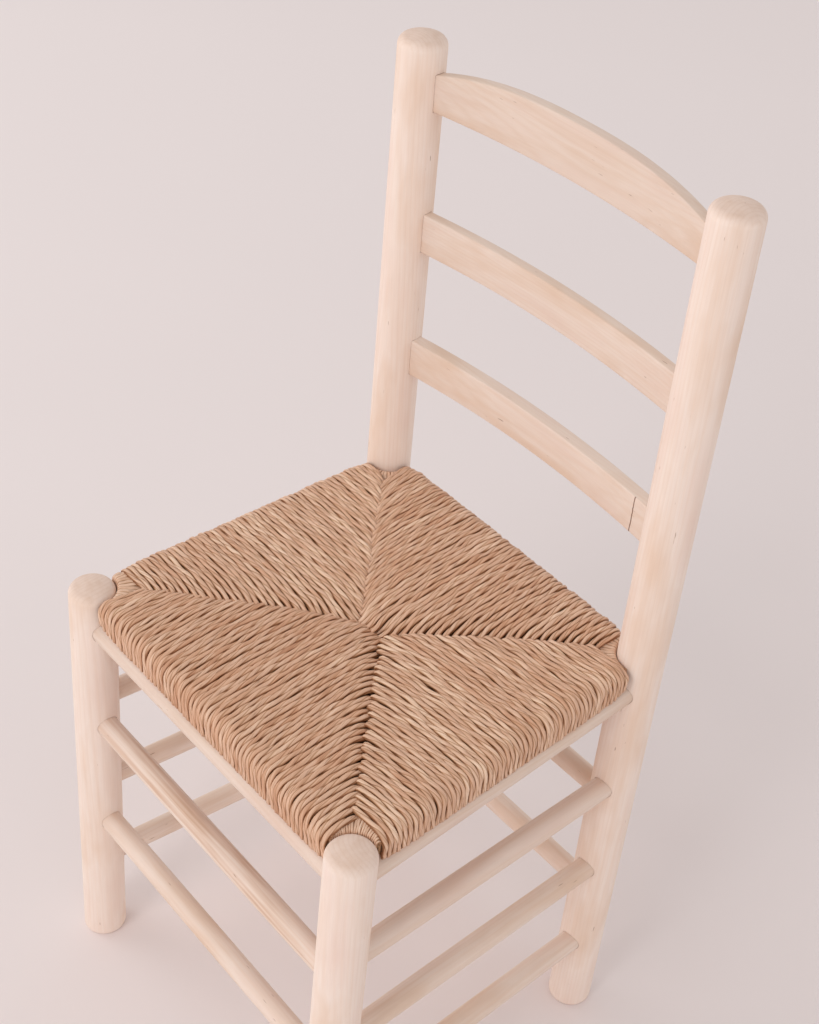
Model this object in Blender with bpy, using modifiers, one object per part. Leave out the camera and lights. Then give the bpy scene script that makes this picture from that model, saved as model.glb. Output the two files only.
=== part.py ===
"""Ladder-back dining chair with a woven rush seat.

Four round posts, three bowed back slats, four round seat rails and ten rungs, all let into blind
mortises in the posts. On the seat rails lies a wooden seat frame, stuffed and covered with rush in
four quadrants, with fine cord wound round its corners.

Metres, +Z up. The origin is on the floor, in the middle of the chair's footprint. The chair faces -Y,
and +X is on its left-hand side as it faces that way.
"""

import math
from collections import namedtuple

import bmesh
import bpy
from mathutils import Matrix, Vector

# ---------------------------------------------------------------- driving dimensions

GAP = 0.0003  # clearance between two pieces that touch

# posts
POST_RADIUS = 0.0205
POST_TOP_ROUND = 0.008
POST_TOP_CROWN = 0.002  # how far the domed top rises above its rounded edge
POST_TOP_ANGLE = 80.0  # where the rounded edge, in degrees, turns into the crown
POST_FOOT_ROUND = 0.003
FRONT_POST = {"x": 0.180, "y": -0.1645, "lean": 0.0197, "height": 0.448}
BACK_POST = {"x": 0.1666, "y": 0.1575, "lean": 0.0068, "height": 0.874}

# rungs and seat rails
RUNG_END_RADIUS = 0.0100
RUNG_MID_RADIUS = 0.0104
RAIL_END_RADIUS = 0.0107
RAIL_MID_RADIUS = 0.0109
TENON_RADIUS = 0.0055
TENON_END = 0.0075  # from the post's axis to the end of the tenon
SHOULDER = 0.0165  # from the post's axis to the tenon's shoulder

SIDE_RUNG_HEIGHTS = {"upper": (0.3129, 0.3089), "middle": (0.2071, 0.2013), "lower": (0.1011, 0.0941)}
FRONT_RUNG_HEIGHTS = {"upper": 0.2927, "lower": 0.1664}
BACK_RUNG_HEIGHTS = {"upper": 0.2830, "lower": 0.1560}
FRONT_RAIL_HEIGHTS = (0.4062, 0.4090)  # left and right end
BACK_RAIL_HEIGHT = 0.4230
SIDE_RAIL_HEIGHTS = (0.4105, 0.4251)  # front and back end

# back slats: bottom edge, height at the ends, how far the upper edge rises in the middle, how far the
# front face stands in front of the posts' axes at the ends, bow backwards and thickness
Slat = namedtuple("Slat", "bottom side crest front bow thick")
SLATS = {
    "lower": Slat(0.5616, 0.0355, 0.0, 0.0062, 0.0138, 0.0131),
    "middle": Slat(0.6854, 0.0359, 0.0, 0.0052, 0.0150, 0.0105),
    "top": Slat(0.8136, 0.0253, 0.0214, 0.0054, 0.0163, 0.0109),
}
SLAT_END = 0.0075  # from the post's axis to the slat's end
SLAT_REACH = 4 * POST_RADIUS  # depth of the block that shapes the crest, more than the bow takes
SLAT_EDGE = 0.0012
CREST_POWER = 2.78  # how square the crest's shoulders are

# seat: heights are above the plane through the side rails' axes, depths inwards from the outer wall
SEAT_EDGE_OUT = 0.0098  # the outer wall beyond the rail's axis
SEAT_TOP = 0.0385
SEAT_CROWN = 0.0400
SEAT_MIDDLE = 0.0310
CROWN_DEPTH = 0.0700
TOP_DEPTH = 0.1350
MIDDLE_DEPTH = 0.1800
UNDER_DEPTH = 0.0196  # where the flat underside begins
EDGE_ROUND = 0.0140
SEAT_BOTTOM = 0.0114
LIP_BOTTOM = 0.0060  # the rush reaches down over the outside of the rail
LIP_CHAMFER = 0.0030
RUSH_THICKNESS = 0.0050
RIDGE_ENDS = ((-0.0070, 0.0030), (0.0197, 0.0060))  # where the diagonals meet the short ridge
FRAME_WIDTH = 0.0340
FRAME_BOTTOM = 0.0170
FRAME_TOP = 0.0305
FRAME_CHAMFER = 0.0060
CORNER_SIDE = 0.0235  # from the post's axis to the first strand, at the seat's outer edge
CORNER_DEPTH = 0.0330  # from the post's axis to the first strand, on the diagonal
CORNER_EDGE_OUT = 0.0078
CORD_THICKNESS = 0.0022
POST_NOTCH = 0.0006  # the cord's clearance round the post
TALL = 0.2000  # height of a block that cuts right through the seat
BEYOND = 0.0400  # how far a cutting block reaches past what it cuts

# smoothness
POST_SEGMENTS = 24
RUNG_SEGMENTS = 16
ARC_STEPS = 4
FOOT_STEPS = 2
SLAT_STEPS = 14
SHARP_ANGLE = 35.0  # edges sharper than this, in degrees, stay crisp
EASED_ANGLE = 60.0  # a slat's edges sharper than this are eased
MERGE_DISTANCE = 0.00001

PART_NAME = "ladder_back_chair"
SIDES = {"left": -1.0, "right": 1.0}
OPPOSITE = {"left": "right", "right": "left", "front": "back", "back": "front"}


# ---------------------------------------------------------------- scene and materials


def clear_scene():
    for obj in list(bpy.data.objects):
        bpy.data.objects.remove(obj, do_unlink=True)


def new_collection(name):
    collection = bpy.data.collections.new(name)
    bpy.context.scene.collection.children.link(collection)
    return collection


def new_material(name, colour, roughness):
    material = bpy.data.materials.new(name)
    material.use_nodes = True
    shader = material.node_tree.nodes["Principled BSDF"]
    shader.inputs["Base Color"].default_value = (*colour, 1.0)
    shader.inputs["Roughness"].default_value = roughness
    shader.inputs["Metallic"].default_value = 0.0
    return material


clear_scene()
PARTS = new_collection(PART_NAME)
CUTTERS = new_collection("cutters")

MATERIALS = {
    "bare_wood": new_material("bare_wood", (0.80, 0.63, 0.51), 0.62),
    "frame_wood": new_material("frame_wood", (0.62, 0.45, 0.31), 0.75),
    "rush": new_material("rush", (0.53, 0.35, 0.21), 0.70),
    "corner_cord": new_material("corner_cord", (0.66, 0.47, 0.31), 0.72),
    "stuffing": new_material("stuffing", (0.42, 0.31, 0.17), 0.90),
}


# ---------------------------------------------------------------- making objects


def add_part(name, mesh, material, matrix=None):
    obj = bpy.data.objects.new(name, mesh)
    mesh.materials.clear()
    mesh.materials.append(MATERIALS[material])
    if matrix is not None:
        obj.matrix_world = matrix
    PARTS.objects.link(obj)
    return obj


def add_cutter(name, mesh, matrix=None):
    obj = bpy.data.objects.new(name, mesh)
    if matrix is not None:
        obj.matrix_world = matrix
    obj.hide_render = True
    obj.display_type = "WIRE"
    CUTTERS.objects.link(obj)
    return obj


def cut(obj, cutter, operation="DIFFERENCE"):
    modifier = obj.modifiers.new(operation.title() + " " + cutter.name, "BOOLEAN")
    modifier.operation = operation
    modifier.solver = "EXACT"
    modifier.object = cutter


def shade_round(mesh):
    mesh.shade_smooth()
    mesh.set_sharp_from_angle(angle=math.radians(SHARP_ANGLE))


def evaluated_mesh(obj, name):
    """The object's mesh with its modifiers applied; the object itself is removed."""
    depsgraph = bpy.context.evaluated_depsgraph_get()
    mesh = bpy.data.meshes.new_from_object(obj.evaluated_get(depsgraph))
    mesh.name = name
    bpy.data.objects.remove(obj, do_unlink=True)
    return mesh


def turned_mesh(name, profile, segments):
    """A turned solid: (radius, height) points from the top down, swept round the Z axis."""
    mesh = bpy.data.meshes.new(name)
    points = [(radius, 0.0, height) for radius, height in profile]
    mesh.from_pydata(points, [(i, i + 1) for i in range(len(points) - 1)], [])
    obj = bpy.data.objects.new(name, mesh)
    CUTTERS.objects.link(obj)
    screw = obj.modifiers.new("Turn", "SCREW")
    screw.axis = "Z"
    screw.steps = segments
    screw.render_steps = segments
    screw.use_merge_vertices = True
    screw.merge_threshold = MERGE_DISTANCE
    turned = evaluated_mesh(obj, name)
    shade_round(turned)
    return turned


def extruded_mesh(name, outline, thickness):
    """A flat outline in the XY plane, extruded to the thickness, half to each side."""
    curve = bpy.data.curves.new(name, "CURVE")
    curve.dimensions = "2D"
    curve.fill_mode = "BOTH"
    curve.extrude = thickness / 2
    spline = curve.splines.new("POLY")
    spline.points.add(len(outline) - 1)
    for point, (x, y) in zip(spline.points, outline):
        point.co = (x, y, 0.0, 1.0)
    spline.use_cyclic_u = True
    obj = bpy.data.objects.new(name, curve)
    CUTTERS.objects.link(obj)
    mesh = evaluated_mesh(obj, name)
    bm = bmesh.new()
    bm.from_mesh(mesh)
    bmesh.ops.remove_doubles(bm, verts=bm.verts, dist=MERGE_DISTANCE)
    bmesh.ops.recalc_face_normals(bm, faces=bm.faces)
    bm.to_mesh(mesh)
    bm.free()
    return mesh


def arc(centre, radius, start, end, steps):
    """Points on an arc, from the start angle to the end angle in degrees."""
    angles = [math.radians(start + (end - start) * i / steps) for i in range(steps + 1)]
    return [(centre[0] + radius * math.cos(a), centre[1] + radius * math.sin(a)) for a in angles]


# ---------------------------------------------------------------- places on the frame


def post_point(post, side, height):
    """The point on a post's axis at a height; side is -1 for left and 1 for right."""
    return Vector((side * post["x"], post["y"] + post["lean"] * height, height))


def seat_plane_height(y):
    """Height of the plane through the two side rails' axes."""
    front = post_point(FRONT_POST, 1, SIDE_RAIL_HEIGHTS[0])
    back = post_point(BACK_POST, 1, SIDE_RAIL_HEIGHTS[1])
    return front.z + (back.z - front.z) * (y - front.y) / (back.y - front.y)


SEAT_CORNERS = {
    ("front", "left"): post_point(FRONT_POST, -1, SIDE_RAIL_HEIGHTS[0]),
    ("front", "right"): post_point(FRONT_POST, 1, SIDE_RAIL_HEIGHTS[0]),
    ("back", "left"): post_point(BACK_POST, -1, SIDE_RAIL_HEIGHTS[1]),
    ("back", "right"): post_point(BACK_POST, 1, SIDE_RAIL_HEIGHTS[1]),
}
SEAT_SLOPE = Matrix.Identity(4)
SEAT_SLOPE[2][1] = (SIDE_RAIL_HEIGHTS[1] - SIDE_RAIL_HEIGHTS[0]) / (
    SEAT_CORNERS["back", "left"].y - SEAT_CORNERS["front", "left"].y
)
SEAT_SLOPE[2][3] = seat_plane_height(0.0)  # lifts heights above the rails' plane to heights above the floor


# ---------------------------------------------------------------- rungs and rails


def rung_profile(length, end_radius, mid_radius, grow):
    """Half-sections of a rung between two post axes, from its upper end to its lower one."""
    upper = [
        (0.0, length - TENON_END + grow),
        (TENON_RADIUS + grow, length - TENON_END + grow),
        (TENON_RADIUS + grow, length - SHOULDER + grow),
        (end_radius + grow, length - SHOULDER + grow),
    ]
    lower = [(radius, length - height) for radius, height in reversed(upper)]
    return upper + [(mid_radius + grow, length / 2)] + lower


def between(start, end):
    """Places a turned piece, made along +Z, from one point towards another."""
    direction = (end - start).normalized()
    return Matrix.Translation(start) @ direction.to_track_quat("Z", "Y").to_matrix().to_4x4()


def add_rung(name, start, end, radii):
    """Adds a rung and returns the cutter that sinks its mortises."""
    length = (end - start).length
    matrix = between(start, end)
    solid = turned_mesh(name, rung_profile(length, *radii, 0.0), RUNG_SEGMENTS)
    add_part(name, solid, "bare_wood", matrix)
    hole = turned_mesh(name + "_mortise", rung_profile(length, *radii, GAP), RUNG_SEGMENTS)
    return add_cutter(name + "_mortise", hole, matrix)


def add_rungs():
    """Adds every rung and rail; returns (posts it is let into, cutter) pairs."""
    rung_radii = (RUNG_END_RADIUS, RUNG_MID_RADIUS)
    rail_radii = (RAIL_END_RADIUS, RAIL_MID_RADIUS)
    mortises = []
    for row, post, heights in (
        ("front", FRONT_POST, FRONT_RUNG_HEIGHTS),
        ("back", BACK_POST, BACK_RUNG_HEIGHTS),
    ):
        for level, height in heights.items():
            ends = [post_point(post, side, height) for side in SIDES.values()]
            cutter = add_rung(f"{row}_rung_{level}", *ends, rung_radii)
            mortises.append(({(row, "left"), (row, "right")}, cutter))
    for side, sign in SIDES.items():
        posts = {("front", side), ("back", side)}
        for level, (front, back) in SIDE_RUNG_HEIGHTS.items():
            ends = (post_point(FRONT_POST, sign, front), post_point(BACK_POST, sign, back))
            mortises.append((posts, add_rung(f"{side}_rung_{level}", *ends, rung_radii)))
        ends = (SEAT_CORNERS["front", side], SEAT_CORNERS["back", side])
        mortises.append((posts, add_rung(f"seat_rail_{side}", *ends, rail_radii)))
    for row, post, heights in (
        ("front", FRONT_POST, FRONT_RAIL_HEIGHTS),
        ("back", BACK_POST, (BACK_RAIL_HEIGHT, BACK_RAIL_HEIGHT)),
    ):
        ends = [post_point(post, sign, height) for sign, height in zip(SIDES.values(), heights)]
        cutter = add_rung(f"seat_rail_{row}", *ends, rail_radii)
        mortises.append(({(row, "left"), (row, "right")}, cutter))
    return mortises


# ---------------------------------------------------------------- slats


def slat_plan(slat, grow):
    """The bowed strip seen from above: the front face's curve out, the back face's curve home."""
    half = BACK_POST["x"] - SLAT_END + grow
    axis_y = post_point(BACK_POST, 1, slat.bottom + slat.side / 2).y
    xs = [-half + 2 * half * i / SLAT_STEPS for i in range(SLAT_STEPS + 1)]

    def face(x, offset):
        return axis_y - slat.front + slat.bow * (1 - (x / BACK_POST["x"]) ** 2) + offset

    front = [(x, face(x, -grow)) for x in xs]
    back = [(x, face(x, slat.thick + grow)) for x in reversed(xs)]
    return front + back


def slat_elevation(slat, grow):
    """The crested slat seen from the front: straight below, rising in the middle above."""
    half = BACK_POST["x"]
    top = slat.bottom + slat.side + grow
    xs = [half - 2 * half * i / SLAT_STEPS for i in range(SLAT_STEPS + 1)]
    crest = [(x, top + slat.crest * (1 - abs(x / half) ** CREST_POWER)) for x in xs]
    return [(-half, slat.bottom - grow), (half, slat.bottom - grow)] + crest


def slat_mesh(name, slat, grow):
    """A slat, or the slot for it when grown."""
    height = slat.side + slat.crest + 2 * grow
    middle = slat.bottom - grow + height / 2
    mesh = extruded_mesh(name, slat_plan(slat, grow), height)
    mesh.transform(Matrix.Translation((0.0, 0.0, middle)))
    if not slat.crest:
        return mesh
    block = add_cutter(name + "_block", mesh)
    outline = extruded_mesh(name + "_outline", slat_elevation(slat, grow), SLAT_REACH)
    upright = Matrix.Translation((0.0, BACK_POST["y"], 0.0)) @ Matrix.Rotation(math.radians(90.0), 4, "X")
    elevation = add_cutter(name + "_outline", outline, upright)
    cut(block, elevation, "INTERSECT")
    crested = evaluated_mesh(block, name)
    bpy.data.objects.remove(elevation, do_unlink=True)
    return crested


def add_slats():
    """Adds the three slats; returns (posts it is let into, cutter) pairs."""
    slots = []
    for level, slat in SLATS.items():
        name = f"back_slat_{level}"
        obj = add_part(name, slat_mesh(name, slat, 0.0), "bare_wood")
        bevel = obj.modifiers.new("Eased edges", "BEVEL")
        bevel.width = SLAT_EDGE
        bevel.segments = 1
        bevel.limit_method = "ANGLE"
        bevel.angle_limit = math.radians(EASED_ANGLE)
        cutter = add_cutter(name + "_slot", slat_mesh(name + "_slot", slat, GAP))
        slots.append(({("back", "left"), ("back", "right")}, cutter))
    return slots


# ---------------------------------------------------------------- posts


def post_profile(height):
    """The post's half-section, from the crown of its top to the middle of its foot."""
    shoulder = (POST_RADIUS - POST_TOP_ROUND, height - POST_TOP_CROWN - POST_TOP_ROUND)
    top = arc(shoulder, POST_TOP_ROUND, POST_TOP_ANGLE, 0.0, ARC_STEPS)
    foot = arc((POST_RADIUS - POST_FOOT_ROUND, POST_FOOT_ROUND), POST_FOOT_ROUND, 0.0, -90.0, FOOT_STEPS)
    return [(0.0, height)] + top + foot + [(0.0, 0.0)]


def add_posts(joints):
    """Adds the four posts and sinks the mortises and slots that belong to each."""
    for row, post in (("front", FRONT_POST), ("back", BACK_POST)):
        for side, sign in SIDES.items():
            name = f"{row}_post_{side}"
            mesh = turned_mesh(name, post_profile(post["height"]), POST_SEGMENTS)
            lean = Matrix.Identity(4)
            lean[1][2] = post["lean"]  # the post leans while its foot stays flat on the floor
            mesh.transform(lean)
            obj = add_part(name, mesh, "bare_wood", Matrix.Translation((sign * post["x"], post["y"], 0.0)))
            for posts, cutter in joints:
                if (row, side) in posts:
                    cut(obj, cutter)


# ---------------------------------------------------------------- seat


def seat_edges():
    """Each edge's two corners, and the ridge ends that its quadrant runs to, counter-clockwise."""
    left, right = (Vector(end) for end in RIDGE_ENDS)
    corner = {key: point.xy for key, point in SEAT_CORNERS.items()}
    return {
        "front": (corner["front", "left"], corner["front", "right"], (right, left)),
        "right": (corner["front", "right"], corner["back", "right"], (right,)),
        "back": (corner["back", "right"], corner["back", "left"], (left, right)),
        "left": (corner["back", "left"], corner["front", "left"], (left,)),
    }


def along_edge(name, section, start, end):
    """A solid with the given (depth, height) section all along one edge of the seat."""
    along = (end - start).normalized()
    inwards = Vector((-along.y, along.x))
    wall = (start + end) / 2 - inwards * SEAT_EDGE_OUT
    mesh = extruded_mesh(name, section, (end - start).length + 2 * BEYOND)
    place = Matrix(
        (
            (inwards.x, 0.0, along.x, wall.x),
            (inwards.y, 0.0, along.y, wall.y),
            (0.0, 1.0, 0.0, 0.0),
            (0.0, 0.0, 0.0, 1.0),
        )
    )
    mesh.transform(SEAT_SLOPE @ place)
    return mesh


def upright_block(name, outline, bottom=-TALL / 2, top=TALL / 2):
    """A block with the given plan, between two heights above the rails' plane."""
    mesh = extruded_mesh(name, outline, top - bottom)
    mesh.transform(SEAT_SLOPE @ Matrix.Translation((0.0, 0.0, (top + bottom) / 2)))
    return mesh


def rush_section():
    """The sleeve of rush across a quadrant: round the edge outside, open towards the middle."""
    t = RUSH_THICKNESS
    bend = (EDGE_ROUND, SEAT_TOP - EDGE_ROUND)
    outside = [(MIDDLE_DEPTH, SEAT_BOTTOM), (UNDER_DEPTH, SEAT_BOTTOM)]
    outside += [(LIP_CHAMFER, LIP_BOTTOM), (0.0, LIP_BOTTOM + LIP_CHAMFER)]
    outside += arc(bend, EDGE_ROUND, 180.0, 90.0, ARC_STEPS)
    outside += [(CROWN_DEPTH, SEAT_CROWN), (TOP_DEPTH, SEAT_TOP), (MIDDLE_DEPTH, SEAT_MIDDLE)]
    inside = [(MIDDLE_DEPTH, SEAT_MIDDLE - t), (TOP_DEPTH, SEAT_TOP - t), (CROWN_DEPTH, SEAT_CROWN - t)]
    inside += arc(bend, EDGE_ROUND - t, 90.0, 180.0, ARC_STEPS)
    inside += [(t, SEAT_BOTTOM + t), (MIDDLE_DEPTH, SEAT_BOTTOM + t)]
    return outside + inside


def frame_section():
    """The seat frame's flat rail, just inside the rush, its outer top edge eased for the strands."""
    outer = RUSH_THICKNESS + GAP
    inner = outer + FRAME_WIDTH
    return [
        (outer, FRAME_BOTTOM),
        (inner, FRAME_BOTTOM),
        (inner, FRAME_TOP),
        (outer + FRAME_CHAMFER, FRAME_TOP),
        (outer, FRAME_TOP - FRAME_CHAMFER),
    ]


def stuffing_section():
    """The pad between the two layers of rush, from the frame's rail to the middle."""
    t = RUSH_THICKNESS + GAP
    start = t + FRAME_WIDTH + GAP
    top = [(MIDDLE_DEPTH, SEAT_MIDDLE - t), (TOP_DEPTH, SEAT_TOP - t), (CROWN_DEPTH, SEAT_CROWN - t)]
    return [(start, SEAT_BOTTOM + t), (MIDDLE_DEPTH, SEAT_BOTTOM + t)] + top + [(start, SEAT_TOP - t)]


def shrunk(outline, inset):
    """A counter-clockwise outline with each side moved inwards."""
    count = len(outline)
    directions = [(outline[(i + 1) % count] - outline[i]).normalized() for i in range(count)]
    starts = [point + Vector((-d.y, d.x)) * inset for point, d in zip(outline, directions)]
    corners = []
    for i, (start, direction) in enumerate(zip(starts, directions)):
        before, along = starts[i - 1], directions[i - 1]
        corners.append(before + along * ((start - before).cross(direction) / along.cross(direction)))
    return corners


def quadrant_block(name, start, end, ridge, inset):
    """A block over a quadrant, between its two diagonals and the ridge."""
    outer_start = start + (start - ridge[-1]).normalized() * BEYOND
    outer_end = end + (end - ridge[0]).normalized() * BEYOND
    outline = shrunk([outer_start, outer_end, *ridge], inset)
    return add_cutter(name, upright_block(name, outline))


def at_corner(row, side, outline):
    """Places an outline, whose axes run inwards from the post's axis, at a corner of the seat."""
    inwards = Vector((-SIDES[side], 1.0 if row == "front" else -1.0))
    points = [SEAT_CORNERS[row, side].xy + Vector(point) * inwards for point in outline]
    return points if inwards.x * inwards.y > 0 else points[::-1]


def bare_corner(row, side):
    """The plan of the seat's corner that the strands leave free, and the floor space outside it."""
    c, d, e = CORNER_SIDE, CORNER_DEPTH, SEAT_EDGE_OUT
    far = -BEYOND
    return at_corner(row, side, [(far, far), (c, far), (c, -e), (d, d), (-e, c), (far, c)])


def post_clearance(row, side, extra):
    """A leaning round block that is wider than the post by the extra."""
    post = FRONT_POST if row == "front" else BACK_POST
    centre = SEAT_CORNERS[row, side].z
    profile = [(0.0, BEYOND), (POST_RADIUS + extra, BEYOND), (POST_RADIUS + extra, -BEYOND), (0.0, -BEYOND)]
    name = f"{row}_{side}_clearance"
    mesh = turned_mesh(name, [(r, h + centre) for r, h in profile], POST_SEGMENTS)
    lean = Matrix.Identity(4)
    lean[1][2] = post["lean"]
    mesh.transform(lean)
    return add_cutter(name, mesh, Matrix.Translation((SIDES[side] * post["x"], post["y"], 0.0)))


def wood_corner(row, side):
    """The plan of the room for the frame's corner, wider than the wood by the gap outside."""
    corner = SEAT_CORNERS[row, side].xy
    across = (SEAT_CORNERS[row, OPPOSITE[side]].xy - corner).normalized()
    along = (SEAT_CORNERS[OPPOSITE[row], side].xy - corner).normalized()
    tip = corner - (across + along) * (SEAT_EDGE_OUT - RUSH_THICKNESS) / abs(across.cross(along))
    points = [tip, tip + across * BEYOND * 2, tip + (across + along) * BEYOND * 2, tip + along * BEYOND * 2]
    return points if across.cross(along) > 0 else points[::-1]


def add_corner_cord(row, side):
    """The fine cord wound over the frame's corner: a sleeve round the wood, open towards the strands."""
    c, d, e = CORNER_SIDE - 2 * GAP, CORNER_DEPTH - 2 * GAP, CORNER_EDGE_OUT
    outline = at_corner(row, side, [(-e, -e), (c, -e), (d, d), (-e, c)])
    bottom, top = FRAME_BOTTOM - GAP, FRAME_TOP + GAP
    name = f"corner_cord_{row}_{side}"
    block = upright_block(name, outline, bottom - CORD_THICKNESS, top + CORD_THICKNESS)
    obj = add_part(name, block, "corner_cord")
    hollow = add_cutter(name + "_hollow", upright_block(name, wood_corner(row, side), bottom, top))
    cut(hollow, post_clearance(row, side, POST_NOTCH + CORD_THICKNESS))
    cut(obj, hollow)
    cut(obj, post_clearance(row, side, POST_NOTCH))


def add_seat():
    corners = {
        key: add_cutter("{}_{}_corner".format(*key), upright_block("corner", bare_corner(*key)))
        for key in SEAT_CORNERS
    }
    notches = {key: post_clearance(*key, POST_NOTCH + CORD_THICKNESS + GAP) for key in SEAT_CORNERS}
    rails = [bpy.data.objects[f"seat_rail_{edge}_mortise"] for edge in ("front", "back", "left", "right")]
    for edge, (start, end, ridge) in seat_edges().items():
        quadrant = quadrant_block(f"{edge}_quadrant", start, end, ridge, GAP / 2)
        at_ends = [key for key in SEAT_CORNERS if edge in key]
        free_corners = [corners[key] for key in at_ends]
        for name, section, material, cutters in (
            (f"rush_{edge}", rush_section(), "rush", free_corners + rails),
            (f"rush_stuffing_{edge}", stuffing_section(), "stuffing", free_corners),
            (f"seat_frame_{edge}", frame_section(), "frame_wood", [notches[key] for key in at_ends]),
        ):
            obj = add_part(name, along_edge(name, section, start, end), material)
            cut(obj, quadrant, "INTERSECT")
            for cutter in cutters:
                cut(obj, cutter)
    for row, side in SEAT_CORNERS:
        add_corner_cord(row, side)


# ---------------------------------------------------------------- the chair

joints = add_rungs() + add_slats()
add_posts(joints)
add_seat()
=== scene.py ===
"""Looks of the ladder-back chair with a woven rush seat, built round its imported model.

Metres, +Z up; the chair faces -Y. The wood is turned and planed anew at a finer step than the
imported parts, and the seat is laid strand by strand over its stuffing.
"""

import math
from collections import namedtuple

import bpy
import numpy as np
from mathutils import Matrix, Vector


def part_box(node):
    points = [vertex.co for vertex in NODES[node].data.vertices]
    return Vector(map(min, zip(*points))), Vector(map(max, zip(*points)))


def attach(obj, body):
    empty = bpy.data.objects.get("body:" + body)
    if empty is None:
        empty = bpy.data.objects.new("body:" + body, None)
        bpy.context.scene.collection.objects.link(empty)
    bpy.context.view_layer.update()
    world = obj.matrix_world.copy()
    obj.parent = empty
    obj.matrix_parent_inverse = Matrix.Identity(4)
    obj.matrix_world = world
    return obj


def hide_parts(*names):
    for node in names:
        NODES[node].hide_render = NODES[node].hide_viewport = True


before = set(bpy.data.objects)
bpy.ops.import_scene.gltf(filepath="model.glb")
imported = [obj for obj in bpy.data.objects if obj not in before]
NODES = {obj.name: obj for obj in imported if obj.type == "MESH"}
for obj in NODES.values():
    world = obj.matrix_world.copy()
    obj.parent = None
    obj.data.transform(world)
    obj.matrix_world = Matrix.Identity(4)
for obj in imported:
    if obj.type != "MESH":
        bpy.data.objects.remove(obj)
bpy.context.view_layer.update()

# ---------------------------------------------------------------- dimensions

# posts: their shaft, their rounded and softly crowned top, and their eased foot
POST_RADIUS = 0.0205
POST_TOP_ROUND = 0.0085
POST_TOP_CROWN = 0.0022
POST_TOP_ANGLE = 82
POST_FOOT_ROUND = 0.0035
POST_SHAFT_FROM = 0.0120
POST_SHAFT_END = 0.0160
POST_STEP = 0.0080
POST_SEGMENTS = 96
DOME_SHARES = np.linspace(0.85, 0.12, 7)

# rungs and rails: distances along them from the posts' axes, and radii at their ends and middle
TENON_END = 0.0075
TENON_RADIUS = 0.0055
SHOULDER = 0.0165
RUNG_RADII = (0.0100, 0.0104)
RAIL_RADII = (0.0107, 0.0109)
RUNG_STEP = 0.0060
RUNG_SEGMENTS = 48

# the room that a mortise leaves round its tenon
MORTISE_GAP = 0.0003
SHARP_TURNED = math.radians(40.0)
SHARP_PLANED = math.radians(50.0)

# slats: heights of the lower edge and of the side, rise of the crest, place of the front from the
# posts' axes, bow backwards and thickness
Slat = namedtuple("Slat", "bottom side crest front bow thick")
SLATS = {
    "lower": Slat(0.5616, 0.0355, 0.0, 0.0062, 0.0138, 0.0131),
    "middle": Slat(0.6854, 0.0359, 0.0, 0.0052, 0.0150, 0.0105),
    "top": Slat(0.8136, 0.0253, 0.0214, 0.0054, 0.0163, 0.0109),
}
BACK_POST_X = 0.1666
BACK_POST_Y = 0.1575
BACK_POST_LEAN = 0.0068
SLAT_END = 0.0075
SLAT_EDGE = 0.0014
CREST_POWER = 2.78
SLAT_STEPS = 96
SLAT_EDGE_STEPS = 4

# the seat: the posts' axes at its level, and the ridge where the diagonals meet
SEAT_FRONT_X = 0.1800
SEAT_BACK_X = 0.1666
SEAT_FRONT_Y = -0.15641
SEAT_BACK_Y = 0.16039
SEAT_CORNERS = {
    "front_left": Vector((-SEAT_FRONT_X, SEAT_FRONT_Y)),
    "front_right": Vector((SEAT_FRONT_X, SEAT_FRONT_Y)),
    "back_right": Vector((SEAT_BACK_X, SEAT_BACK_Y)),
    "back_left": Vector((-SEAT_BACK_X, SEAT_BACK_Y)),
}
RIDGE_LEFT = Vector((-0.0070, 0.0030))
RIDGE_RIGHT = Vector((0.0197, 0.0060))
# the plane through the side rails' axes, which the seat's heights are measured from
SEAT_LEVEL = 0.41771
SEAT_SLOPE = 0.04609
# how far the outer wall stands out from the rails' axes
EDGE_OUT = 0.0098
EDGE_ROUND = 0.0140
# the upper surface: depths inwards from the wall, and heights there
SEAT_TOP = 0.0385
TOP_DEPTHS = (0.0, EDGE_ROUND, 0.0400, 0.0700, 0.1000, 0.1350, 0.1580, 0.1800)
TOP_HEIGHTS = (SEAT_TOP, SEAT_TOP, 0.0396, 0.0400, 0.0397, SEAT_TOP, 0.0352, 0.0310)
SEAT_BOTTOM = 0.0114
RAIL_RADIUS = 0.0109
FRAME_TOP = 0.0305
FRAME_BOTTOM = 0.0170
# where the strands leave each corner free, from its post's axis: along the front or back wall,
# along the side wall, and the inner apex across and along
Corner = namedtuple("Corner", "across side apex_across apex_side")
FREE_CORNERS = {
    "front_left": Corner(0.0225, 0.0320, 0.0330, 0.0360),
    "front_right": Corner(0.0222, 0.0265, 0.0258, 0.0295),
    "back_right": Corner(0.0270, 0.0240, 0.0310, 0.0290),
    "back_left": Corner(0.0222, 0.0222, 0.0250, 0.0250),
}

rng = np.random.default_rng(7)


# ---------------------------------------------------------------- shader graphs


def srgb(red, green, blue):
    """A display colour, 0 to 255, as a linear one."""
    out = []
    for value in (red, green, blue):
        v = value / 255
        out.append(v / 12.92 if v <= 0.04045 else ((v + 0.055) / 1.055) ** 2.4)
    return (*out, 1.0)


def stops(*rows):
    """A ramp's stops, from rows of a place and a display colour."""
    return [(place, srgb(*colour)) for place, *colour in rows]


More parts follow.
